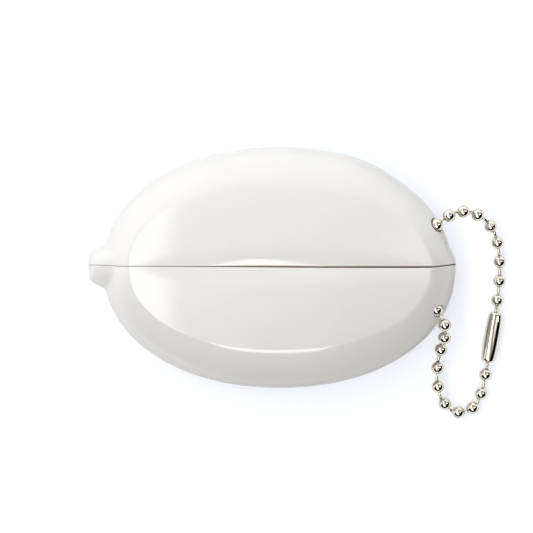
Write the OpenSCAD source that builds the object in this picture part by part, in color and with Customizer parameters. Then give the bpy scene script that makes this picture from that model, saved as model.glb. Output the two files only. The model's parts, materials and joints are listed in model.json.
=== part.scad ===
// Squeeze coin pouch on a ball chain loop.
// The pouch lies on its flat back. X runs along the slit, Y across it and Z up out of the back.
// The origin is the middle of the flat back.

/* [Pouch] */
// Length of the pouch along the slit, without its tab
pouch_l = 85.2; // [78:0.2:95]
// Width of the pouch across the slit
pouch_w = 58.2; // [52:0.2:66]
// Thickness of the closed pouch at its middle
pouch_h = 20; // [19:0.25:23]
// Height of the pouch's widest line above its back
rim_h = 9.5; // [8.5:0.25:10.5]
// Rise of the front panel's dome above the ring where it meets the shoulder
dome_rise = 3; // [2.5:0.25:3.5]
// Distance of that ring from the pouch's outline
ring_inset = 7.2; // [5:0.2:9]
// Distance of the flat back from the pouch's outline
back_inset = 9; // [6:0.5:12]
// Thickness of the moulded wall
wall_t = 2; // [1.4:0.1:2.4]
// Squareness of the outline, where 2 is an ellipse
outline_power = 2.1; // [1.9:0.05:2.4]
// Degrees of arc that the shoulder turns through up to the ring
shoulder_turn = 55; // [40:1:75]

/* [Mouth] */
// Width of the slit between the closed lips
slit_w = 0.3; // [0.2:0.05:0.6]
// Height of the slit's closed ends above the back
slit_end_h = 9; // [7:0.5:11]
// Depth of the plane where the lips leave the back shell, below the ring
lip_skirt = 1; // [0.5:0.1:1.5]
// Gap between the lips and the back shell
lip_gap = 0.3; // [0.2:0.05:0.5]

/* [Tab] */
// Length of the tab beyond the outline
tab_l = 3.6; // [2:0.2:5]
// Diameter of the tab at half its length
tab_d = 8.6; // [7:0.2:10]

/* [Chain holes] */
// Distance between the centres of the two chain holes
hole_span = 21.2; // [18:0.2:24]
// Distance of the holes' centres below the ring
hole_drop = 3.8; // [3.4:0.1:4.2]
// Diameter of each hole
hole_d = 4; // [3.8:0.1:4.4]

/* [Chain] */
// Outer diameter of a bead
bead_d = 3.2; // [2.8:0.1:3.3]
// Thickness of a bead's sheet
bead_t = 0.15; // [0.1:0.01:0.18]
// Diameter of the hole at each end of a bead
bead_hole_d = 0.92; // [0.88:0.01:0.94]
// Distance between two beads when the chain is pulled straight
link_pitch = 4.75; // [4.6:0.05:4.8]
// Distance that a link closes up when its beads are pushed together
link_slack = 1.3; // [1:0.05:1.4]
// Diameter of a pin's shaft
pin_d = 0.56; // [0.4:0.02:0.58]
// Diameter of a pin's heads
pin_head_d = 0.96; // [0.94:0.01:0.98]
// Length of a pin between the centres of its heads
pin_l = 3.15; // [3.1:0.05:3.2]
// Gap at the two places where the loop is open for its joints
open_gap = 0.6; // [0.3:0.05:0.8]

/* [Connector] */
// Length of the connector
connector_l = 12.4; // [11.5:0.1:14]
// Diameter of the connector at its middle
connector_d = 4.1; // [4:0.05:4.5]
// Thickness of the connector's sheet
connector_t = 0.25; // [0.2:0.05:0.3]
// How much the connector's radius shrinks towards each end
connector_taper = 0.35; // [0.2:0.05:0.4]
// Diameter of the hole in each end of the connector
connector_hole_d = 1.8; // [1.4:0.1:2]
// Distance of an end bead's centre from the connector's end
connector_inset = 1.8; // [1.75:0.05:2.2]
// Width of the seam along the connector
seam_w = 0.5; // [0.3:0.05:0.7]

/* [Hidden] */
// Steps round the outline, with finer ones over the tab, and steps up each part of the side
outline_steps = 52;
tab_reach_steps = 4;
tab_refine = 3;
back_steps = 5;
shoulder_steps = 5;
crown_steps = 4;
// How sharply the tab's side falls away
tab_power = 6;
// Points along half of the connector's side, and how late its taper sets in
curve_steps = 6;
taper_power = 4;
// How far every cut runs past the face that it cuts
overrun = 1;
// Roundness of the small turned pieces
$fn = 48;

half_l = pouch_l / 2;
half_w = pouch_w / 2;
ring_h = pouch_h - dome_rise;
lip_h = ring_h - lip_skirt;
hole_h = ring_h - hole_drop;
bead_r = bead_d / 2;

// How the chain lies at rest. Headings are degrees in plan from +X, one for each link from a hole on.
// Slack shares say how far each link is closed up, and height shares run from the table to the holes.
upper_headings = [37, 16, -12, -40, -66, -83, -90, -96, -97];
upper_slack_shares = [0.76, 0.4, 0.05, 0, 0, 0, 0, 0, 0];
upper_height_shares = [0.93, 0.75, 0.5, 0.32, 0.16, 0.07, 0.02, 0];
lower_headings = [-61, -89, -104, -99, -88, -68, -32, 17, 59, 77, 80];
lower_slack_shares = [0.42, 0.6, 0.38, 0, 0, 0, 0.45, 0.85, 0.55, 0, 0];
lower_height_shares = [0.905, 0.7, 0.44, 0.3, 0.21, 0.1, 0, 0, 0, 0.02];
connector_heading = -100;
// How deep the first bead of each branch sits below its hole's mouth, as a share of the wall
upper_seat_share = 0.44;
lower_seat_share = 0.48;
// The beads inside the pouch: their places between the holes, and the sag of their curve as a share
// of the distance between the holes
inside_shares = [0.655, 0.225, -0.225, -0.655];
inside_draw_share = 0.22;
inside_drop_share = 0.085;

// Numbers of the beads that matter to the joints, counted along the loop from the connector
upper_hole_bead = len(upper_headings) + 1;
lower_hole_bead = upper_hole_bead + len(inside_shares) + 1;
bead_count = lower_hole_bead + len(lower_headings);
pin_count = bead_count - 1;
inside_open_pin = upper_hole_bead + len(inside_shares) / 2;
connector_open_pin = pin_count;

shell_colour = "ivory";
steel_colour = "silver";

// Geometry of the shell

// Turns of the points round the outline: the tab is at 180 degrees
outline_turns = [
    for (k = [0 : outline_steps - 1])
        let (near_tab = abs(k - outline_steps / 2) < tab_reach_steps)
        each [
            for (part = [0 : near_tab ? tab_refine - 1 : 0])
                360 * (k + part / tab_refine) / outline_steps
        ]
];
outline_points = len(outline_turns);

// How far the tab stands out of the end at height h and distance y from the slit
function tab_rise(y, h) =
    tab_l * exp(-ln(2) * pow(sqrt(y * y + (h - rim_h) * (h - rim_h)) / (tab_d / 2), tab_power));

function shoulder_depth(u) = ring_inset * (1 - cos(u)) / (1 - cos(shoulder_turn));
function shoulder_rise(u, top_h) = (top_h - rim_h) * sin(u) / sin(shoulder_turn);

// One ring of the outline, drawn in by d and lifted to height h, with the tab's own rise if it has one
function ring(d, h, has_tab, share = 1) = [
    for (t = outline_turns)
        let (
            x = (half_l - d) * share * sign(cos(t)) * pow(abs(cos(t)), 2 / outline_power),
            y = (half_w - d) * share * sign(sin(t)) * pow(abs(sin(t)), 2 / outline_power)
        )
        [has_tab && x < 0 ? x - tab_rise(y, h) : x, y, h]
];

// Rings from the flat back up to the crown, all g inside the outer face
function pouch_rings(g) = concat(
    [
        for (k = [0 : back_steps])
            let (u = 90 * k / back_steps)
            ring(g + back_inset * (1 - sin(u)), rim_h - (rim_h - g) * cos(u), g == 0)
    ],
    [
        for (k = [1 : shoulder_steps])
            let (u = shoulder_turn * k / shoulder_steps)
            ring(g + shoulder_depth(u), rim_h + shoulder_rise(u, ring_h - g), g == 0)
    ],
    [
        for (k = [1 : crown_steps - 1])
            let (share = 1 - k / crown_steps)
            ring(g + ring_inset, ring_h - g + (pouch_h - ring_h) * (1 - share * share), false, share)
    ]
);

// Closed solid of the pouch's outer form, drawn in by g
module pouch_form(g) {
    rings = pouch_rings(g);
    m = outline_points;
    levels = len(rings);
    points = concat([for (r = rings) each r], [[0, 0, g], [0, 0, pouch_h - g]]);
    back_point = levels * m;
    top_point = back_point + 1;
    faces = concat(
        [for (k = [0 : m - 1]) [back_point, k, (k + 1) % m]],
        [
            for (r = [0 : levels - 2], k = [0 : m - 1])
                each [
                    [r * m + k, (r + 1) * m + k, (r + 1) * m + (k + 1) % m],
                    [r * m + k, (r + 1) * m + (k + 1) % m, r * m + (k + 1) % m]
                ]
        ],
        [for (k = [0 : m - 1]) [(levels - 1) * m + k, top_point, (levels - 1) * m + (k + 1) % m]]
    );
    polyhedron(points, faces);
}

// Chain holes: where they come out of the shoulder, and the direction that they point in
hole_y = hole_span / 2;
hole_turn = asin((hole_h - rim_h) / (ring_h - rim_h) * sin(shoulder_turn));
hole_depth = shoulder_depth(hole_turn);
hole_x = (half_l - hole_depth)
    * pow(1 - pow(hole_y / (half_w - hole_depth), outline_power), 1 / outline_power);
hole_slope_x = pow(hole_x / (half_l - hole_depth), outline_power - 1) / (half_l - hole_depth);
hole_slope_y = pow(hole_y / (half_w - hole_depth), outline_power - 1) / (half_w - hole_depth);
hole_plan = unit([hole_slope_x, hole_slope_y, 0]);
hole_rise = atan2(
    ring_inset * sin(hole_turn) / (1 - cos(shoulder_turn)),
    (ring_h - rim_h) * cos(hole_turn) / sin(shoulder_turn)
);
hole_axis = hole_plan * cos(hole_rise) + [0, 0, sin(hole_rise)];
hole_mouth = [hole_x, hole_y, hole_h];

// Geometry of the chain

function unit(v) = v / norm(v);
function mirrored(v) = [v.x, -v.y, v.z];
function reversed(list) = [for (k = [len(list) - 1 : -1 : 0]) list[k]];
function height_of(share) = bead_r + (hole_h - bead_r) * share;

// Bead centres from p on, one link at a time
function walk(p, headings, slacks, heights, k = 0) =
    k == len(headings) ? [p] :
    let (
        link = link_pitch - link_slack * slacks[k],
        climb = heights[k] - p.z,
        run = sqrt(link * link - climb * climb),
        next = p + [run * cos(headings[k]), run * sin(headings[k]), climb]
    )
    concat([p], walk(next, headings, slacks, heights, k + 1));

function heights_of(shares) = concat([for (s = shares) height_of(s)], [connector_d / 2]);

upper_seat = hole_mouth - hole_axis * wall_t * upper_seat_share;
lower_seat = mirrored(hole_mouth - hole_axis * wall_t * lower_seat_share);
upper_beads = walk(upper_seat, upper_headings, upper_slack_shares, heights_of(upper_height_shares));
lower_walk = walk(lower_seat, lower_headings, lower_slack_shares, heights_of(lower_height_shares));

// The connector hangs on the upper branch, and the lower branch closes on its far bead
connector_dir = [cos(connector_heading), sin(connector_heading), 0];
connector_span = connector_l - 2 * connector_inset;
upper_end = upper_beads[len(upper_headings)];
lower_end = upper_end + connector_dir * connector_span;
lower_links = len(lower_headings);
lower_miss = lower_end - lower_walk[lower_links];
lower_beads = [for (k = [0 : lower_links]) lower_walk[k] + lower_miss * k / lower_links];

inside_mid = (upper_seat + lower_seat) / 2;
inside_half = (upper_seat - lower_seat) / 2;
inside_sag = -[inside_draw_share, 0, inside_drop_share] * hole_span;
inside_beads = [for (s = inside_shares) inside_mid + inside_half * s + inside_sag * (1 - s * s)];

beads = concat(reversed(upper_beads), inside_beads, lower_beads);

// A bead points halfway between its two links, and an end bead along its only link
function bead_dir(k) =
    k == 0 ? unit(beads[1] - beads[0]) :
    k == bead_count - 1 ? unit(beads[k] - beads[k - 1]) :
    unit(unit(beads[k + 1] - beads[k]) + unit(beads[k] - beads[k - 1]));

// A pin turns where its shaft passes through the bead's sheet
pivot_r = sqrt(pow(bead_r - bead_t / 2, 2) - pow(bead_hole_d / 2, 2));
function exit_pivot(k) = beads[k] + bead_dir(k) * pivot_r;
function entry_pivot(k) = beads[k] - bead_dir(k) * pivot_r;
function pin_mid(k) = (exit_pivot(k) + entry_pivot(k + 1)) / 2;
function pin_dir(k) = unit(entry_pivot(k + 1) - exit_pivot(k));

// Distance from a pin's middle to the face of the bead that it stops short of, where the loop is open
function open_reach(k, bead) = norm(beads[bead] - pin_mid(k)) - bead_r - open_gap;

module at(place, direction) {
    translate(place)
        rotate([0, acos(direction.z), atan2(direction.y, direction.x)])
            children();
}

// Cutters

// Larger than the pouch in plan
reach = pouch_l + pouch_w;

// The slit and all that lies beyond it, seen from one side of it
module far_half(side) {
    translate([-reach / 2, side > 0 ? -reach : -slit_w / 2, -overrun])
        cube([reach, reach + slit_w / 2, pouch_h + 2 * overrun]);
}

module slab(low, high) {
    translate([-reach / 2, -reach / 2, low])
        cube([reach, reach, high - low]);
}

module chain_hole_cutter() {
    at(hole_mouth, hole_axis)
        cylinder(d = hole_d, h = 2 * (wall_t + overrun), center = true);
}

// The moulding's wall between two heights, with the chain holes through it
module wall(low, high) {
    difference() {
        pouch_form(0);
        pouch_form(wall_t);
        slab(-overrun, low);
        slab(high, pouch_h + overrun);
        chain_hole_cutter();
        mirror([0, 1, 0]) chain_hole_cutter();
    }
}

// The moulding is one body in four nodes, divided where flat planes leave each of them a plain form:
// the back, the side up to the ends of the slit, and a shoulder on each side of the slit.
module shell_back() {
    color(shell_colour)
        intersection() {
            pouch_form(0);
            slab(-overrun, wall_t);
        }
}

module shell_side() {
    color(shell_colour) wall(wall_t, slit_end_h);
}

// In a shoulder and a lip, side is 1 for the upper one and -1 for the lower
module shoulder(side) {
    color(shell_colour)
        difference() {
            wall(slit_end_h, lip_h - lip_gap / 2);
            far_half(side);
        }
}

module lip(side) {
    color(shell_colour)
        difference() {
            pouch_form(0);
            pouch_form(wall_t);
            slab(-overrun, lip_h + lip_gap / 2);
            far_half(side);
        }
}

module bead(k) {
    color(steel_colour)
        at(beads[k], bead_dir(k))
            difference() {
                sphere(d = bead_d);
                sphere(d = bead_d - 2 * bead_t);
                cylinder(d = bead_hole_d, h = bead_d + 2 * overrun, center = true);
            }
}

module pin(k) {
    starts_open = k + 1 == connector_open_pin;
    ends_open = k + 1 == inside_open_pin;
    low = starts_open ? open_reach(k, k) : pin_l / 2;
    high = ends_open ? open_reach(k, k + 1) : pin_l / 2;
    color(steel_colour)
        at(pin_mid(k), pin_dir(k)) {
            translate([0, 0, -low]) cylinder(d = pin_d, h = low + high);
            if (!starts_open) translate([0, 0, -low]) sphere(d = pin_head_d);
            if (!ends_open) translate([0, 0, high]) sphere(d = pin_head_d);
        }
}

// Half of the barrel's profile, drawn in by g, with z running from end to end
function barrel(g) = [
    for (k = [-curve_steps : curve_steps])
        let (z = k / curve_steps)
        [connector_d / 2 - connector_taper * pow(z, taper_power) - g, z * (connector_l / 2 - g)]
];

module chain_connector() {
    end_z = connector_l / 2;
    color(steel_colour)
        at((upper_end + lower_end) / 2, connector_dir)
            difference() {
                rotate_extrude()
                    polygon(concat([[0, -end_z]], barrel(0), [[0, end_z]]));
                rotate_extrude()
                    polygon(concat(
                        [[0, connector_t - end_z]],
                        barrel(connector_t),
                        [[0, end_z - connector_t]]
                    ));
                cylinder(d = connector_hole_d, h = connector_l + 2 * overrun, center = true);
                translate([0, -seam_w / 2, -end_z - overrun])
                    cube([connector_d, seam_w, connector_l + 2 * overrun]);
            }
}

shell_back();
shell_side();
shoulder(1);  // shoulder_upper
shoulder(-1);  // shoulder_lower
lip(1);  // lip_upper
lip(-1);  // lip_lower
chain_connector();
for (k = [1 : bead_count]) bead(k - 1);
for (k = [1 : pin_count]) pin(k - 1);
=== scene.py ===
# %% [markdown]
# # Squeeze coin pouch on a ball chain
#
# The object is a small lemon-shaped pouch moulded in one piece from soft, glossy vinyl.
# A slit runs along its front, and the lips part when the two ends are pressed together.
# A nickel-plated ball chain passes through two holes in the right shoulder and closes in a barrel connector.
# The mechanical model already holds every piece with its joints. This script gives them their looks.

import json
import math

import bmesh
import bpy
import numpy as np
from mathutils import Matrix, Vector


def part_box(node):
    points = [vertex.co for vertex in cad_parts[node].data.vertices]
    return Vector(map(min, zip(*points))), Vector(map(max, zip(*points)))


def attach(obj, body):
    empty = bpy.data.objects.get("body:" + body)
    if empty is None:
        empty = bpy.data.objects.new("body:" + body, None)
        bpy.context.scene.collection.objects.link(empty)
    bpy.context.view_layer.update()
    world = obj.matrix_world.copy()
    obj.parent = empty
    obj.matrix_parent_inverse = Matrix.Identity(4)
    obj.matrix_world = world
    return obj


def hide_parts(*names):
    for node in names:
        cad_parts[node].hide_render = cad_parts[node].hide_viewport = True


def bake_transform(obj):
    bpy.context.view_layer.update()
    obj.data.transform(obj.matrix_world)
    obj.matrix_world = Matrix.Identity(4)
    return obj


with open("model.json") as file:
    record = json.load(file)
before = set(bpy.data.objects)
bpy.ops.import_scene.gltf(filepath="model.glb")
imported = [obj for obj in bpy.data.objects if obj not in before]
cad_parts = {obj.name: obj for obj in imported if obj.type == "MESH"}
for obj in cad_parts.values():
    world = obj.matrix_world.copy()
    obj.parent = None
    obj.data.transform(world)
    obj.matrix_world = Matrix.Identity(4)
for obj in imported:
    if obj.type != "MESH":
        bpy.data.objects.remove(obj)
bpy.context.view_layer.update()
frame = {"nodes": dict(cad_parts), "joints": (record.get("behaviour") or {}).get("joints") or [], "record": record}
nodes = frame["nodes"]
record = frame["record"]
MM = 0.001

# %% [markdown]
# ## Colours and materials
#
# Two materials cover almost the whole object: vinyl and nickel-plated steel. Their colours are written as
# sRGB hex and turned to linear light by one function, and one small function adds a node with its settings
# and links. The sizes of the patterns are real ones, in millimetres.


# %% Colour and node helpers
def linear(hex_colour):
    """Linear RGBA from an sRGB hex colour."""
    parts = [int(hex_colour[k:k + 2], 16) / 255 for k in (1, 3, 5)]
    return tuple(c / 12.92 if c <= 0.04045 else ((c + 0.055) / 1.055) ** 2.4 for c in parts) + (1.0,)


def add_node(tree, kind, settings=None, sockets=None):
    """Adds one node with its properties, and gives each input socket a value or links an output to it."""
    made = tree.nodes.new(kind)
    for name, value in (settings or {}).items():
        setattr(made, name, value)
    for name, value in (sockets or {}).items():
        if isinstance(value, bpy.types.NodeSocket):
            tree.links.new(value, made.inputs[name])
        else:
            made.inputs[name].default_value = value
    return made


def combined(tree, operation, *values):
    """The result of a math node on one to three values."""
    return add_node(tree, "ShaderNodeMath", {"operation": operation}, dict(enumerate(values))).outputs["Value"]


def mixed(tree, share, low, high):
    """The colour low where share is 0 and high where it is 1."""
    return add_node(tree, "ShaderNodeMix", {"data_type": "RGBA"}, {0: share, 6: low, 7: high}).outputs[2]


def spread(tree, value, low, high):
    """A value from 0 to 1 spread over the range from low to high."""
    return add_node(tree, "ShaderNodeMapRange", None, {
        "Value": value, "To Min": low, "To Max": high}).outputs["Result"]


def noise(tree, size, detail, place):
    """Soft noise with features of that size in metres."""
    return add_node(tree, "ShaderNodeTexNoise", None, {
        "Scale": 1 / size, "Detail": detail, "Vector": place}).outputs["Fac"]


def bumped(tree, height, strength, depth):
    """A normal bent by a height pattern of that depth in metres."""
    return add_node(tree, "ShaderNodeBump", None, {
        "Strength": strength, "Distance": depth, "Height": height}).outputs["Normal"]


def new_material(name):
    """An empty node material, its tree, its output node and the object's own coordinates."""
    material = bpy.data.materials.new(name)
    material.use_nodes = True
    tree = material.node_tree
    tree.nodes.clear()
    out = tree.nodes.new("ShaderNodeOutputMaterial")
    place = add_node(tree, "ShaderNodeTexCoord").outputs["Object"]
    return material, tree, out, place


def finish(tree, out, sockets):
    """A principled surface with these sockets, joined to the output."""
    shader = add_node(tree, "ShaderNodeBsdfPrincipled", None, sockets)
    tree.links.new(shader.outputs["BSDF"], out.inputs["Surface"])


print("mid grey in linear light:", linear("#808080")[:3])

# %% [markdown]
# ### The moulded vinyl
#
# The pouch is plasticised PVC from a polished mould: an ordinary plastic index of refraction, a tight gloss and
# a little light that spreads below the skin. Polished moulds still leave a faint orange peel a few millimetres
# across, and the white pigment clouds slightly, so both are drawn, though hardly seen.

# %% Vinyl, glossy moulded
PEEL, CLOUD = 3.5 * MM, 16 * MM
VINYL_IOR = 1.53
vinyl, tree, out, place = new_material("vinyl_glossy_moulded")
cloud = noise(tree, CLOUD, 3.0, place)
peel = noise(tree, PEEL, 1.0, place)
finish(tree, out, {
    "Base Color": mixed(tree, cloud, linear("#e6e4e0"), linear("#ebeae8")),
    "Roughness": spread(tree, cloud, 0.04, 0.1),
    "Normal": bumped(tree, peel, 0.2, 0.012 * MM),
    "IOR": VINYL_IOR,
    "Subsurface Weight": 0.15, "Subsurface Radius": (1.0, 0.8, 0.6), "Subsurface Scale": 1.5 * MM,
})
print("material:", vinyl.name)

# %% [markdown]
# ### The cut vinyl
#
# The slit and the chain holes are cut after moulding. A cut face is dull and shows the knife's fine lines. Its brown is
# painted shade for the dark inside of the slit and the holes. The lines are noise that is drawn out along the slit.

# %% Vinyl, knife-cut, brown as painted shade
KNIFE, LINE_STRETCH = 0.25 * MM, (0.12, 1.0, 1.0)
cut_vinyl_painted_shade, tree, out, place = new_material("vinyl_knife_cut_painted_shade")
drawn_out = add_node(tree, "ShaderNodeMapping", None, {"Vector": place, "Scale": LINE_STRETCH}).outputs["Vector"]
lines = noise(tree, KNIFE, 2.0, drawn_out)
finish(tree, out, {
    # The brown, darker along the knife lines, is painted shade for the dark inside of the slit and the holes
    "Base Color": mixed(tree, lines, linear("#80602f"), linear("#b8955c")),
    "Roughness": 0.6,
    "IOR": VINYL_IOR,
    "Normal": bumped(tree, lines, 0.4, 0.02 * MM),
})
print("material:", cut_vinyl_painted_shade.name)

# %% [markdown]
# ### The nickel plate
#
# The chain is stamped steel with a bright nickel plate, slightly warm and very smooth. It is plated in a
# tumbling barrel, which leaves small dents and hazy spots a few tenths of a millimetre across.

# %% Steel, nickel-plated bright
DENT = 0.5 * MM
nickel, tree, out, place = new_material("steel_nickel_plated_bright")
spots = noise(tree, DENT, 3.0, place)
finish(tree, out, {
    "Base Color": mixed(tree, spots, linear("#d2cbbe"), linear("#e6e0d4")),
    "Metallic": 1.0,
    "Roughness": spread(tree, spots, 0.02, 0.09),
    "Normal": bumped(tree, spots, 0.25, 0.004 * MM),
})
print("material:", nickel.name)

# %% [markdown]
# ## The form of the pouch
#
# The outline is a superellipse with a small tab at the left end, like the nipple of a lemon.
# From the flat back the side turns up through a quarter of an ellipse to the widest line, then the shoulder
# leans in to a ring, and inside the ring lies the gently domed front panel that the slit divides.
# Each half of the pouch is one grid: its columns go round the outline, and its rows go from the slit over the
# ring and down to the back. The main sizes are those of the mechanical model, in millimetres. The ring's
# insets and what shapes the slit and the lips are finer than that model and follow the photograph.

# %% Sizes of the pouch
HALF_L, HALF_W, POWER = 42.6, 29.1, 2.1
RIM_H, RING_H, TOP_H = 9.5, 17.0, 20.0
BACK_INSET, WALL, SHOULDER_POWER = 9.0, 2.0, 2.0
RING_X, RING_Y, PANEL_SHARE = 6.2, 9.0, 0.955
TAB_L, TAB_D, TAB_POWER = 3.6, 8.8, 8
print("length", 2 * HALF_L + TAB_L, "width", 2 * HALF_W)


# %% Even steps and soft steps
def smooth(value, low, high):
    """0 below low, 1 above high and an even S between them."""
    t = np.clip((value - low) / (high - low), 0, 1)
    return t * t * (3 - 2 * t)


def spaced(low, high, count, power=1.0):
    """count values from low to high, closer together near low where power is above 1."""
    return low + (high - low) * (np.arange(count) / (count - 1)) ** power


print("half way up a soft step:", smooth(0.5, 0, 1))


# %% Outline, tab and dome
def outline(t, inset_x, inset_y, share=1.0):
    """Plan point of the outline at turn t, drawn in along X and Y and then scaled by share."""
    c, s = np.cos(t), np.sin(t)
    x = (HALF_L - inset_x) * share * np.sign(c) * np.abs(c) ** (2 / POWER)
    y = (HALF_W - inset_y) * share * np.sign(s) * np.abs(s) ** (2 / POWER)
    return x, y


def tab_rise(y, h):
    """How far the tab stands out of the left end."""
    r = np.hypot(y, h - RIM_H) / (TAB_D / 2)
    return TAB_L * np.exp(-math.log(2) * r ** TAB_POWER)


def dome(x, y, g):
    """Height of the front panel's skin, g inside the outer one."""
    a, b = HALF_L - RING_X - g, HALF_W - RING_Y - g
    s = np.clip((np.abs(x) / a) ** POWER + (np.abs(y) / b) ** POWER, 0, 1) ** (1 / POWER)
    return RING_H - g + (TOP_H - RING_H) * (1 - s * s)


print("the tab stands out by", tab_rise(0, RIM_H), "and the dome tops out at", dome(0, 0, 0))

# %% [markdown]
# ### The lips and the slit
#
# Beside the slit each lip bends down a little, most near the middle, where squeezing has worked it most. That
# bend catches the lamp and makes the lens-shaped highlight above the slit. The slit is closed at its inner
# edge and a hair open at the skin. It runs slightly above the middle line and rises towards both ends.
# The upper right of the outline is drawn in a little, as the soft moulding has sagged there.

# %% Lips, slit and sag
LIP_ROLL, LIP_DROP, LIP_POWER = 4.3, 1.3, 1.4
LIP_MID, LIP_SPREAD, LIP_LEAST = -4.5, 18.0, 0.3
REACH_LEAST, REACH_POWER = 0.4, 3
SLIT_END_H, SLIT_START, SLIT_SHUT = 9.0, 0.5, 0.02
SLIT_HALF, SLIT_GAPE, GAPE_RANGE = 0.06, 0.13, (-34.0, 22.0)
END_CLOSE, END_RANGE = 0.5, (32, 41)
SLIT_Y, SLIT_SINK, SINK_RANGE = 0.25, 0.15, (-25, 18)
DRIFT_LEFT, LEFT_RANGE = 0.35, (36, 45)
DRIFT_RIGHT, RIGHT_RANGE = 0.6, (36, HALF_L)
DRIFT_REACH, DRIFT_RANGE = 4.0, (4, SLIT_END_H)
FLAT, FLAT_LOW, FLAT_HIGH, FLAT_POWER = 1.12, (0.0, 14.0), (38.0, 68.0), 3


def roll(x, y):
    """How far a lip bends down towards the slit."""
    reach = LIP_ROLL * np.clip(1 - (np.abs(x) / (HALF_L - RING_X)) ** REACH_POWER, 0, 1) + REACH_LEAST
    t = np.clip(1 - np.abs(y) / reach, 0, 1)
    bow = LIP_LEAST + (1 - LIP_LEAST) * np.exp(-(((x - LIP_MID) / LIP_SPREAD) ** 2))
    return LIP_DROP * bow * (reach / LIP_ROLL) * t ** LIP_POWER


def flattened(points, g):
    """Draws the upper right of the outline in a little."""
    x, y = points[..., 0], points[..., 1]
    a, b = HALF_L - g, HALF_W - g
    turn = np.degrees(np.arctan2(y / b, x / a))
    near_rim = np.clip(np.abs(x / a) ** POWER + np.abs(y / b) ** POWER, 0, 1) ** FLAT_POWER
    amount = FLAT * near_rim * smooth(turn, *FLAT_LOW) * (1 - smooth(turn, *FLAT_HIGH))
    out = np.stack([x / a ** 2, y / b ** 2], -1)
    out /= np.maximum(np.linalg.norm(out, axis=-1, keepdims=True), 1e-9)
    drawn = points.copy()
    drawn[..., :2] -= out * amount[..., None]
    return drawn


def part_slit(points, side, shut):
    """Holds one half back from the slit; side is 1 for the upper half, and shut is for the inner skin."""
    x, y, z = points[..., 0], points[..., 1], points[..., 2]
    above = np.clip((z - SLIT_END_H) / SLIT_START, 0, 1)
    gape = SLIT_HALF + SLIT_GAPE * smooth(x, *GAPE_RANGE) * (1 - END_CLOSE * smooth(x, *END_RANGE))
    half_gap = SLIT_SHUT if shut else gape
    rise = SLIT_Y - SLIT_SINK * smooth(x, *SINK_RANGE)
    rise = rise + DRIFT_LEFT * smooth(-x, *LEFT_RANGE) + DRIFT_RIGHT * smooth(x, *RIGHT_RANGE)
    rise = rise * smooth(z, *DRIFT_RANGE) * np.exp(-((y / DRIFT_REACH) ** 2))
    parted = points.copy()
    parted[..., 1] = side * (np.hypot(y, half_gap * above) + side * rise)
    return parted


print("a lip bends down by up to", round(float(roll(LIP_MID, 0)), 2), "mm")

# %% Rows and columns of one half
END_TURN = 0.5
FRONT_DEPTH = 2.5
PANEL_ROWS = spaced(0, 1, 34, 1.6)
RING_ROWS = spaced(PANEL_SHARE, 1, 8)[1:]
SHOULDER_ROWS = 1 - spaced(0, 1, 26, 1.3)[1:]
BACK_ROWS = [math.radians(90 - a) for a in spaced(0, 90, 20)[1:]]
FLOOR_ROWS = 1 - spaced(0, 1, 8)[1:]
ends = spaced(0, END_TURN, 26, 1.7)
turns = np.concatenate([ends, spaced(END_TURN, math.pi - END_TURN, 70)[1:-1], math.pi - ends[::-1]])


def half_grid(turns, g):
    """Rows of points of the upper half's skin, from the slit to the middle line of the back."""
    rows = []
    x_in, y_in = outline(turns, RING_X + g, RING_Y + g, PANEL_SHARE)
    for v in PANEL_ROWS:
        y = y_in * v
        rows.append(np.stack([x_in, y, dome(x_in, y, g)], 1))
    for share in RING_ROWS:
        x, y = outline(turns, RING_X + g, RING_Y + g, share)
        rows.append(np.stack([x, y, dome(x, y, g)], 1))
    for q in SHOULDER_ROWS:
        lean = q ** SHOULDER_POWER
        x, y = outline(turns, g + RING_X * lean, g + RING_Y * lean)
        h = RIM_H + (RING_H - g - RIM_H) * q
        rows.append(np.stack([x, y, np.full_like(x, h)], 1))
    for u in BACK_ROWS:
        inset = g + BACK_INSET * (1 - math.sin(u))
        x, y = outline(turns, inset, inset)
        h = RIM_H - (RIM_H - g) * math.cos(u)
        rows.append(np.stack([x, y, np.full_like(x, h)], 1))
    x_back, y_back = outline(turns, g + BACK_INSET, g + BACK_INSET)
    for v in FLOOR_ROWS:
        rows.append(np.stack([x_back, y_back * v, np.full_like(x_back, g)], 1))
    points = np.array(rows)
    if g == 0:
        side = points[len(PANEL_ROWS) + len(RING_ROWS):]
        left = side[..., 0] < 0
        side[..., 0] -= np.where(left, tab_rise(side[..., 1], side[..., 2]), 0)
        front = points[..., 2] > RING_H - FRONT_DEPTH
        points[..., 2] -= np.where(front, roll(points[..., 0], points[..., 1]), 0)
    return points


outer, inner = half_grid(turns, 0.0), half_grid(turns, WALL)
print("grid of one half:", outer.shape[:2])

# %% Round the ring
# A moulded edge is never knife sharp: averaging neighbouring rows rounds the ring
RING_ROUNDS, ROWS_INSIDE, ROWS_OUTSIDE = 5, 7, 9
ring_row = len(PANEL_ROWS) + len(RING_ROWS)
band = slice(ring_row - ROWS_INSIDE, ring_row + ROWS_OUTSIDE)
for _ in range(RING_ROUNDS):
    middle = outer[band].copy()
    outer[band] = (outer[band.start - 1:band.stop - 1] + 2 * middle + outer[band.start + 1:band.stop + 1]) / 4
print("rounded rows:", band.stop - band.start)

# %% [markdown]
# ## Building the two halves
#
# The real pouch is one moulding, and only the slit parts it. Here the upper and the lower half are separate
# meshes that meet on the back's middle line. A half is closed all round: outer skin, inner skin and the cut face
# between them.

# %% Turn points and faces into a clean piece
MERGE = 0.002 * MM


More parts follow.
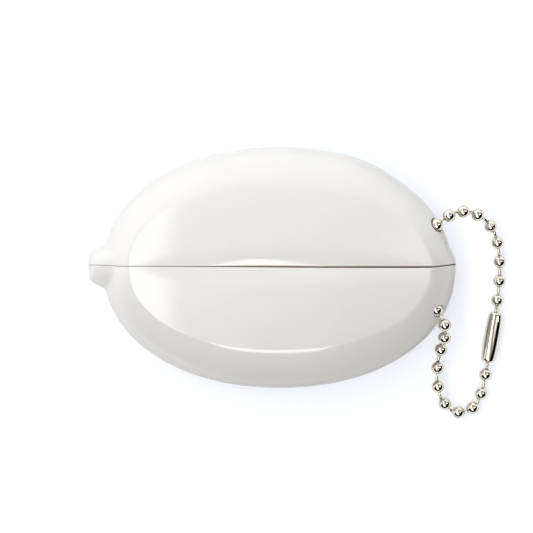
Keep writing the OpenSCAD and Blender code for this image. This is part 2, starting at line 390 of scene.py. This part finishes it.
def new_piece(name, points, faces):
    """A mesh object from points in metres; doubled points are merged and the faces look outwards."""
    mesh = bpy.data.meshes.new(name)
    mesh.from_pydata(points.tolist(), [], faces)
    shape = bmesh.new()
    shape.from_mesh(mesh)
    bmesh.ops.remove_doubles(shape, verts=shape.verts, dist=MERGE)
    bmesh.ops.recalc_face_normals(shape, faces=shape.faces)
    shape.to_mesh(mesh)
    shape.free()
    piece = bpy.data.objects.new(name, mesh)
    bpy.context.scene.collection.objects.link(piece)
    return piece


def closed_half(name, side):
    """One half of the pouch as a closed mesh; side is 1 for the upper half and -1 for the lower."""
    rows, columns = outer.shape[:2]
    skins = [(outer, 0.0), (inner, WALL)]
    if side > 0:
        skins = [(flattened(skin, g), g) for skin, g in skins]
    skins = [part_slit(skin, side, g > 0).reshape(-1, 3) for skin, g in skins]
    points = np.concatenate(skins)
    faces = []
    for layer, flipped in ((0, False), (rows * columns, True)):
        for r in range(rows - 1):
            for c in range(columns - 1):
                a = layer + r * columns + c
                quad = (a, a + columns, a + columns + 1, a + 1)
                faces.append(quad[::-1] if flipped else quad)
    edge = [(0, c) for c in range(columns)] + [(r, columns - 1) for r in range(1, rows)]
    edge += [(rows - 1, c) for c in range(columns - 2, -1, -1)] + [(r, 0) for r in range(rows - 2, 0, -1)]
    loop = [r * columns + c for r, c in edge]
    for a, b in zip(loop, loop[1:] + loop[:1]):
        faces.append((a, b, b + rows * columns, a + rows * columns))
    if side < 0:
        faces = [f[::-1] for f in faces]
    return new_piece(name, points * MM, faces)


upper_half = closed_half("pouch_upper_half", 1)
lower_half = closed_half("pouch_lower_half", -1)
print("faces of a half:", len(upper_half.data.polygons))

# %% [markdown]
# ### Chain holes
#
# A hole is punched through each shoulder along the direction that the chain's bead sits in. The soft vinyl
# grips the chain at the skin, so the mouth is narrower than a bead and widens inwards. The cutter is a
# profile turned round the hole's axis, and the function that turns it makes all of the chain later.


# %% Turn a profile round an axis
def turned(profile, angles, closed):
    """Points and faces of a profile of (radius, height) turned through the angles; closed profiles are tubes."""
    rows, columns = len(profile), len(angles)
    radius, height = np.array(profile, float).T
    points = np.stack([
        np.outer(np.cos(angles), radius), np.outer(np.sin(angles), radius), np.tile(height, (columns, 1)),
    ], 2).reshape(-1, 3)
    swept = angles[-1] - angles[0]
    all_round = swept > 2 * math.pi * (1 - 2 / columns) and abs(swept - 2 * math.pi) > 1e-6
    faces = []
    for c in range(columns if all_round else columns - 1):
        d = (c + 1) % columns
        for r in range(rows if closed else rows - 1):
            q = (r + 1) % rows
            faces.append((c * rows + r, d * rows + r, d * rows + q, c * rows + q))
    if not all_round:
        faces.append(tuple(range(rows)))
        faces.append(tuple(range((columns - 1) * rows, columns * rows))[::-1])
    return points, faces


# %% Drill the chain holes
ROOM_D, HOLE_D, MOUTH_D = 4.4, 3.7, 3.0
CUT_IN, ROOM_IN, MOUTH_OUT, CUT_OUT = 7.5, 1.2, 0.9, 4
HOLE_PROFILE = [(0, -CUT_IN), (ROOM_D / 2, -CUT_IN), (ROOM_D / 2, -ROOM_IN), (HOLE_D / 2, 0),
                (MOUTH_D / 2, MOUTH_OUT), (MOUTH_D / 2, CUT_OUT), (0, CUT_OUT)]
HOLES = []


def drill(piece, bead):
    """Cuts a hole along the slide that the bead in it has, narrower at the skin, where it grips the chain."""
    joint = next(j for j in frame["joints"] if j["child"] == bead)
    axis = Vector(joint["axis"])
    low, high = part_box(bead.replace("link", "bead"))
    middle = (low + high) / 2
    HOLES.append((middle, axis))
    points, faces = turned(HOLE_PROFILE, np.radians(np.arange(0, 360, 6)), False)
    cutter = new_piece("cutter", points * MM, faces)
    cutter.location = middle
    cutter.rotation_euler = axis.to_track_quat("Z", "Y").to_euler()
    cut = piece.modifiers.new("chain_hole", "BOOLEAN")
    cut.object, cut.operation, cut.solver = cutter, "DIFFERENCE", "EXACT"
    bpy.context.view_layer.update()
    done = bpy.data.meshes.new_from_object(piece.evaluated_get(bpy.context.evaluated_depsgraph_get()))
    piece.modifiers.clear()
    piece.data = done
    bpy.data.objects.remove(cutter)
    return len(done.polygons)


print("faces, upper:", drill(upper_half, "link_10"), "lower:", drill(lower_half, "link_15"))

# %% [markdown]
# ### Finishes of the halves
#
# Faces that stand in the slit or look into a hole get the knife-cut finish. Each half stands for both its lip's
# solid and the still ones around it, and hides them. The real wall bends between the back and the lip.

# %% Give the cut faces their own finish
SLIT_BAND, BACK_SKIN = 1.2 * MM, 0.5 * MM
ACROSS_SLIT, ALONG_HOLE, HOLE_REACH = 0.85, 0.6, 1.01 * HOLE_D / 2 * MM


def paint_cuts(piece):
    """Vinyl all over, and the knife-cut finish with its painted shade on faces in the slit or looking into a chain
    hole.
    """
    piece.data.materials.clear()
    for material in (vinyl, cut_vinyl_painted_shade):
        piece.data.materials.append(material)
    cuts = 0
    for face in piece.data.polygons:
        near_slit = abs(face.center.y) < SLIT_BAND and face.center.z > BACK_SKIN
        in_slit = near_slit and abs(face.normal.y) > ACROSS_SLIT
        in_hole = any(
            (face.center - mouth).cross(axis).length < HOLE_REACH and abs(face.normal.dot(axis)) < ALONG_HOLE
            for mouth, axis in HOLES
        )
        # Faces in the slit and the holes get the brown of painted shade
        face.material_index = int(in_slit or in_hole)
        cuts += face.material_index
    return cuts


# %% Shade, finish and hand over the halves
POUCH_CREASE = 38
HALVES = [
    (upper_half, "upper_lip", ("lip_upper", "shell_back", "shell_side", "shoulder_upper")),
    (lower_half, "lower_lip", ("lip_lower", "shoulder_lower")),
]
for piece, lip, solids in HALVES:
    piece.data.shade_smooth()
    piece.data.set_sharp_from_angle(angle=math.radians(POUCH_CREASE))
    cuts = paint_cuts(piece)
    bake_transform(piece)
    for node in solids:
        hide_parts(node)
    print(piece.name, "cut faces:", cuts, "stands for:", solids)

# %% [markdown]
# ## The chain
#
# Ball chain is made from a strip of thin steel that rollers close round the heads of short wire pins.
# Everything in it is turned round an axis. The places come from the mechanical model's beads, each ball points
# half way between its two neighbours, and the pins run from one bead's hole to the next.

# %% Where the beads lie and which way they point
centres = []
while f"bead_{len(centres) + 1}" in nodes:
    low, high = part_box(f"bead_{len(centres) + 1}")
    centres.append(np.array((low + high) / 2))
links = [b - a for a, b in zip(centres, centres[1:])]
links = [v / np.linalg.norm(v) for v in links]
aims = [links[0]] + [a + b for a, b in zip(links, links[1:])] + [links[-1]]
aims = [v / np.linalg.norm(v) for v in aims]
body_of = {n: body for body, names in record["behaviour"]["bodies"].items() for n in names}
print("beads:", len(centres), "pitch mm:", np.round(np.linalg.norm(centres[1] - centres[0]) / MM, 2))


# %% Stand a turned piece in its place
def placed(points, centre, aim):
    """Points in millimetres about Z, stood along aim and moved to centre, in metres."""
    turn = Vector(aim).to_track_quat("Z", "Y").to_matrix()
    return points @ np.array(turn).T * MM + centre


def chain_piece(name, node, points, faces, centre, aim, crease):
    """A smooth nickel piece that stands for a node and rides where it rides."""
    piece = new_piece(name, placed(points, centre, aim), faces)
    piece.data.shade_smooth()
    piece.data.set_sharp_from_angle(angle=math.radians(crease))
    piece.data.materials.append(nickel)
    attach(piece, body_of[node])
    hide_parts(node)
    return piece


# %% [markdown]
# ### Balls
#
# Each ball is a thin hollow shell with a hole at both ends and a hairline seam from hole to hole, where the
# strip's edges meet. The seam is a real groove in the mesh. Every ball is turned on by the golden angle, so
# that the seams don't line up.

# %% Balls with a seam
BALL_R, SHEET, BALL_HOLE_R, BALL_CREASE = 1.6, 0.15, 0.46, 50
SEAM_W, SEAM_DEEP, GOLDEN = 5.0, 0.05, 137.5
full_turn = np.radians(np.concatenate([[-4, -2, -1, 0, 1, 2, 4], np.arange(10, 356, 8)]))
inner_r = BALL_R - SHEET
edge, inner_edge = math.asin(BALL_HOLE_R / BALL_R), math.asin(BALL_HOLE_R / inner_r)
ball_profile = [(BALL_R * math.sin(a), BALL_R * math.cos(a)) for a in np.linspace(edge, math.pi - edge, 25)]
ball_profile += [(inner_r * math.sin(a), inner_r * math.cos(a))
                 for a in np.linspace(math.pi - inner_edge, inner_edge, 13)]
ball_points, ball_faces = turned(ball_profile, full_turn, True)
off_seam = np.degrees(np.arctan2(ball_points[:, 1], ball_points[:, 0])) / (SEAM_W / 2)
groove = SEAM_DEEP * np.exp(-off_seam ** 2) * (np.linalg.norm(ball_points, axis=1) > BALL_R - SHEET / 2)
ball_points[:, :2] *= (1 - groove / np.maximum(np.linalg.norm(ball_points[:, :2], axis=1), BALL_HOLE_R))[:, None]
for k, (centre, aim) in enumerate(zip(centres, aims), 1):
    swing = math.radians(GOLDEN * k)
    spin = np.array([[math.cos(swing), -math.sin(swing), 0], [math.sin(swing), math.cos(swing), 0], [0, 0, 1]])
    chain_piece(f"ball_{k}", f"bead_{k}", ball_points @ spin.T, ball_faces, centre, aim, BALL_CREASE)
print("faces of one ball:", len(ball_faces))

# %% [markdown]
# ### Pins
#
# A pin is a short wire with an upset head at each end, and the heads keep it in the two balls. Where it passes
# a ball's hole it is slimmer, so that it can lean there. At the two places where the loop is open the pin
# stops short of its ball and has a plain rounded end.

# %% Pins with two heads
PIN_R, NECK_R, HEAD_R, PIN_L, PIN_CREASE = 0.40, 0.29, 0.48, 3.15, 40
NECK_FROM, NECK_TO = 0.55, 0.78
PIVOT_R = math.sqrt((BALL_R - SHEET / 2) ** 2 - BALL_HOLE_R ** 2)
OPEN_GAP, SHORT_BY = 0.12, 0.2


def pin_profile(low, high, low_head, high_head):
    """Half a dumbbell from low to high, with a ball head or a rounded end at each end."""
    ends = []
    for height, head, sign in ((low, low_head, -1), (high, high_head, 1)):
        r = HEAD_R if head else PIN_R
        middle = height if head else height - sign * PIN_R
        last = math.pi - math.asin(NECK_R / HEAD_R) if head else math.pi / 2
        end = [(r * math.sin(a), middle + sign * r * math.cos(a)) for a in np.linspace(0, last, 10)]
        neck = [(NECK_R, sign * NECK_TO), (PIN_R, sign * NECK_FROM)] if head else []
        ends.append(end + neck)
    return ends[0] + ends[1][::-1]


open_pins = {}
for k in range(1, len(centres)):
    box_low, box_high = (np.array(corner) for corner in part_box(f"pin_{k}"))
    start = centres[k - 1] + aims[k - 1] * PIVOT_R * MM
    end = centres[k] - aims[k] * PIVOT_R * MM
    middle, way = (start + end) / 2, (end - start) / np.linalg.norm(end - start)
    # The mechanical model's box shows which pins stop short at an open end of the loop
    reach = (np.abs(way) * (PIN_L / 2 * MM) + HEAD_R * MM) * np.sign(way)
    low_corner, high_corner = np.where(way > 0, box_low, box_high), np.where(way > 0, box_high, box_low)
    low_short = np.max(np.abs(middle - reach - low_corner)) > SHORT_BY * MM
    high_short = np.max(np.abs(middle + reach - high_corner)) > SHORT_BY * MM
    low_end, high_end = -PIN_L / 2, PIN_L / 2
    if low_short:
        low_end = -(np.linalg.norm(centres[k - 1] - middle) / MM - BALL_R - OPEN_GAP)
        open_pins[k] = "start"
    if high_short:
        high_end = np.linalg.norm(centres[k] - middle) / MM - BALL_R - OPEN_GAP
        open_pins[k] = "end"
    profile = pin_profile(low_end, high_end, not low_short, not high_short)
    points, faces = turned(profile, np.radians(np.arange(0, 360, 15)), False)
    chain_piece(f"pin_wire_{k}", f"pin_{k}", points, faces, middle, way, PIN_CREASE)
print("open pins:", open_pins)

# %% [markdown]
# ### Connector
#
# The connector is rolled from one piece of sheet: a barrel that is fullest in its middle, with a seam along
# it, rounded shoulders and a hole in each end for the pins. On the real one lettering is engraved, and here
# its side is bare.

# %% Connector: a rolled barrel with a seam, shoulders and end holes
BARREL_L, BARREL_R, BARREL_SHEET, BARREL_HOLE_R, BARREL_CREASE = 12.4, 2.05, 0.25, 0.9, 40
BARREL_SLIM, SHOULDER_R, SHOULDER_LEAST, SEAM_HALF = 0.45, 0.9, 0.1, 0.2


def barrel_side(inset):
    """Profile of the barrel's skin from one end hole to the other, inset from the outer face."""
    half = BARREL_L / 2 - inset
    corner = max(SHOULDER_R - inset, SHOULDER_LEAST)
    heights = np.linspace(-half + corner, half - corner, 25)
    side = [(BARREL_R - inset - BARREL_SLIM * abs(z / half) ** 3, z) for z in heights]
    upper = [(side[-1][0] - corner * (1 - math.cos(a)), half - corner * (1 - math.sin(a)))
             for a in np.linspace(0, math.pi / 2, 7)[1:]]
    lower = [(r, -z) for r, z in upper[::-1]]
    return [(BARREL_HOLE_R, -half)] + lower + side + upper + [(BARREL_HOLE_R, half)]


opening = SEAM_HALF / BARREL_R
points, faces = turned(barrel_side(0) + barrel_side(BARREL_SHEET)[::-1],
                       np.linspace(opening, 2 * math.pi - opening, 73), True)
barrel_aim = centres[-1] - centres[0]
chain_piece("connector_barrel", "chain_connector", points, faces,
            (centres[0] + centres[-1]) / 2, barrel_aim / np.linalg.norm(barrel_aim), BARREL_CREASE)
print("connector faces:", len(faces))

# %% [markdown]
# ## Table
#
# The pouch lies on white paper, a plain diffuse surface. What the camera and the object's reflections see of
# it is lifted towards white, as in a picture exposed for its background, and the light that it throws back
# onto the object stays plain. The lift is the same everywhere, so the shadow stays.


# %% Table
def sees_white(tree, glossy=None):
    """1 for camera and transmission rays and for glossy rays, or for the given share of the glossy ones."""
    ray = add_node(tree, "ShaderNodeLightPath").outputs
    gloss = ray["Is Glossy Ray"] if glossy is None else combined(tree, "MULTIPLY", glossy, ray["Is Glossy Ray"])
    return combined(tree, "MAXIMUM", combined(tree, "MAXIMUM", ray["Is Camera Ray"], gloss), ray["Is Transmission Ray"])


LIFT, TABLE_W, TABLE_DROP = 0.57, 1.6, 0.05 * MM
paper, tree, out, _ = new_material("paper_white_matte")
plain = add_node(tree, "ShaderNodeBsdfPrincipled", None, {
    "Base Color": linear("#c6c8cc"), "Roughness": 0.95}).outputs["BSDF"]
lift = add_node(tree, "ShaderNodeEmission", None, {"Color": linear("#f4f8ff"), "Strength": LIFT}).outputs["Emission"]
lifted = add_node(tree, "ShaderNodeAddShader", None, {0: plain, 1: lift}).outputs["Shader"]
surface = add_node(tree, "ShaderNodeMixShader", None, {0: sees_white(tree), 1: plain, 2: lifted}).outputs["Shader"]
tree.links.new(surface, out.inputs["Surface"])
bpy.ops.mesh.primitive_plane_add(size=TABLE_W, location=(0, 0, -TABLE_DROP))
table = bpy.context.object
table.name = "table"
table.data.materials.append(paper)
print("table:", table.dimensions[:2])

# %% [markdown]
# ## Room light
#
# All light comes from the world, drawn by direction. The walls are dim and warm towards the lower right and
# bright and cool towards the upper left, under a plain ceiling with a soft glow to the lower left. Dark cards
# give the metal its black reflections. A long lamp on the left draws the crescent round the panel's left end,
# and a short one beyond the lower edge draws the two highlights near the slit and on the lower ring.

# %% Directions, patches and panels
world = bpy.data.worlds.new("room")
bpy.context.scene.world = world
world.use_nodes = True
room = world.node_tree
room.nodes.clear()
direction = add_node(room, "ShaderNodeTexCoord").outputs["Generated"]


def toward(azimuth, zenith):
    """Unit direction at that azimuth from +X and angle from straight up, in degrees."""
    a, z = math.radians(azimuth), math.radians(zenith)
    return (math.sin(z) * math.cos(a), math.sin(z) * math.sin(a), math.cos(z))


def facing(azimuth, zenith):
    """Cosine of the angle from a direction."""
    return add_node(room, "ShaderNodeVectorMath", {"operation": "DOT_PRODUCT"}, {
        0: direction, 1: toward(azimuth, zenith)}).outputs["Value"]


def stepped(value, start, end):
    """0 at start, 1 at end and an even S between them."""
    return add_node(room, "ShaderNodeMapRange", {"interpolation_type": "SMOOTHSTEP"}, {
        "Value": value, "From Min": start, "From Max": end}).outputs["Result"]


def patch(azimuth, zenith, full, rim):
    """1 within the full radius of a direction, and 0 beyond the rim's radius, in degrees."""
    return stepped(facing(azimuth, zenith), math.cos(math.radians(rim)), math.cos(math.radians(full)))


def panel(u_low, u_high, v_low, v_high, soft):
    """1 inside a rectangle of a ceiling one unit above the table, with soft edges."""
    parts = add_node(room, "ShaderNodeSeparateXYZ", None, {0: direction}).outputs
    inside = combined(room, "GREATER_THAN", parts["Z"], 0.05)
    for part, low, high in ((parts["X"], u_low, u_high), (parts["Y"], v_low, v_high)):
        place = combined(room, "DIVIDE", part, parts["Z"])
        for start, end in ((low, low + soft), (high, high - soft)):
            inside = combined(room, "MULTIPLY", inside, stepped(place, start, end))
    return inside


def scaled(vector, amount):
    """A vector times a number."""
    return add_node(room, "ShaderNodeVectorMath", {"operation": "SCALE"}, {0: vector, "Scale": amount}).outputs["Vector"]


def glowing(colour, strength):
    """Linear colour times a strength."""
    return [c * strength for c in linear(colour)[:3]]


def with_lamp(light, mask, colour, strength):
    """The light with a mask of that colour and strength added."""
    lamp = scaled(glowing(colour, strength), mask)
    return add_node(room, "ShaderNodeVectorMath", {"operation": "ADD"}, {0: light, 1: lamp}).outputs["Vector"]


print("straight up is", [round(c, 3) for c in toward(0, 0)])

# %% Walls, cards and lamps
DIM, BRIGHT, CEILING = ("#5f564b", 0.5), ("#f7f9fd", 1.9), ("#fbfaf8", 0.35)
BRIGHT_SIDE, CEILING_SIZE = 118, (36, 62)
LAMP_WHITE = "#fffdf8"
GLOW, GLOW_STRENGTH = (-126, 26, 8, 30), 1.15
# Azimuth, zenith, full radius and rim
CARDS = [(-45, 60, 25, 29), (-137, 60, 25, 29), (-91, 70, 17, 21), (0, 62, 20, 27)]
# Left, right, near and far edges as shares of the height, and the softness of the edges
LEFT_LAMP, LEFT_STRENGTH = (-0.6, -0.25, -0.75, 0.75, 0.04), 3.6
FRONT_LAMP, FRONT_STRENGTH = (-0.25, 0.2, -1.1, -0.7, 0.06), 6.5
RIGHT_LAMP, RIGHT_STRENGTH = (12, 25, 5, 15), 1.2
SPARK_LAMP, SPARK_STRENGTH = (8, 44, 2, 3.5), 16.0
share = add_node(room, "ShaderNodeMapRange", None, {
    "Value": facing(BRIGHT_SIDE, 90), "From Min": -1.0}).outputs["Result"]
walls = mixed(room, share, glowing(*DIM) + [1], glowing(*BRIGHT) + [1])
light = mixed(room, patch(0, 0, *CEILING_SIZE), walls, glowing(*CEILING) + [1])
light = with_lamp(light, patch(*GLOW), LAMP_WHITE, GLOW_STRENGTH)
for card in CARDS:
    light = scaled(light, combined(room, "MULTIPLY_ADD", patch(*card), -1.0, 1.0))
light = with_lamp(light, panel(*LEFT_LAMP), LAMP_WHITE, LEFT_STRENGTH)
light = with_lamp(light, panel(*FRONT_LAMP), LAMP_WHITE, FRONT_STRENGTH)
light = with_lamp(light, patch(*RIGHT_LAMP), LAMP_WHITE, RIGHT_STRENGTH)
light = with_lamp(light, patch(*SPARK_LAMP), "#ffffff", SPARK_STRENGTH)
lit_room = add_node(room, "ShaderNodeBackground", None, {"Color": light, "Strength": 1.0}).outputs["Background"]
print("lamps and cards:", 5 + len(CARDS))

# %% White behind the table
# The camera sees white behind the table, and so do reflections where the white backdrop meets the table
HORIZON = 0.1
white = add_node(room, "ShaderNodeBackground", None, {"Color": (1, 1, 1, 1), "Strength": 1.0}).outputs["Background"]
height = add_node(room, "ShaderNodeSeparateXYZ", None, {0: direction}).outputs["Z"]
low = combined(room, "LESS_THAN", height, HORIZON)
mix = add_node(room, "ShaderNodeMixShader", None, {0: sees_white(room, low), 1: lit_room, 2: white}).outputs["Shader"]
add_node(room, "ShaderNodeOutputWorld", None, {"Surface": mix})
print("room nodes:", len(room.nodes))

# %% [markdown]
# ## Camera
#
# The photograph looks straight down from far enough that the pouch hardly narrows towards its top. A long
# lens 0.9 m above the table does the same.

# %% Camera
VIEW_ANGLE, CAMERA_AT = 8.27, (-0.00314, 0.00024, 0.900)
eye = bpy.data.cameras.new("camera")
eye.sensor_width = 36
eye.lens = eye.sensor_width / 2 / math.tan(math.radians(VIEW_ANGLE / 2))
camera = bpy.data.objects.new("camera", eye)
camera.location = CAMERA_AT
bpy.context.scene.collection.objects.link(camera)
bpy.context.scene.camera = camera
bpy.context.scene.view_settings.view_transform = "Standard"
print("lens mm:", round(eye.lens, 1))
